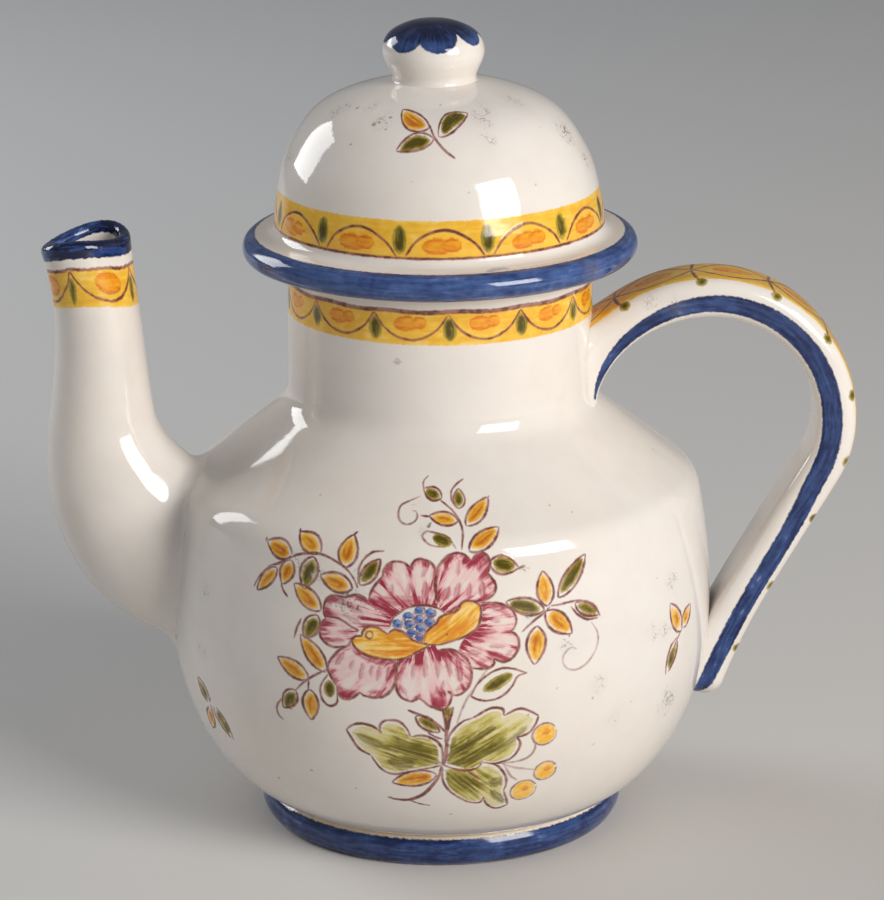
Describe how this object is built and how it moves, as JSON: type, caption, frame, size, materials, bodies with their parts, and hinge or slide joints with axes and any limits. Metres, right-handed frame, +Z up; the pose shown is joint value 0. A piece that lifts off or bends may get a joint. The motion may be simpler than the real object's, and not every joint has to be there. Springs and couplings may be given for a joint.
{
  "type": "teapot",
  "caption": "Small tin-glazed earthenware teapot with an elbowed spout, a strap handle and a domed lift-off lid with a button knob.",
  "frame": {"origin": "on the pot's axis, in the plane that the foot ring stands on", "axes": "+Z up along the pot's axis, +X towards the handle, -X towards the spout, +Y to the back of the side with the bouquet"},
  "size_m": [0.1528, 0.1026, 0.1533],
  "materials": {
    "pot_body": "glossy tin glaze with a painted bouquet and border",
    "foot_ring": "glossy, painted cobalt blue over the white glaze",
    "spout": "glossy tin glaze with a painted border and a blue lip",
    "handle": "glossy tin glaze with a yellow band and blue edge stripes",
    "lid_dome": "glossy tin glaze with a painted border and a blue brim",
    "lid_collar": "bare fired clay with a matt surface",
    "lid_knob": "glossy tin glaze with blue lobes on top"
  },
  "bodies": {
    "pot": {"pot_body": "pot_body", "foot_ring": "foot_ring", "spout": "spout", "handle": "handle"},
    "lid": {"lid_dome": "lid_dome", "lid_collar": "lid_collar", "lid_knob": "lid_knob"}
  },
  "joints": [
    {"name": "lid_lift", "type": "slide", "parent": "pot", "child": "lid", "axis": [0, 0, 1], "range_m": [0, 0.08]}
  ]
}
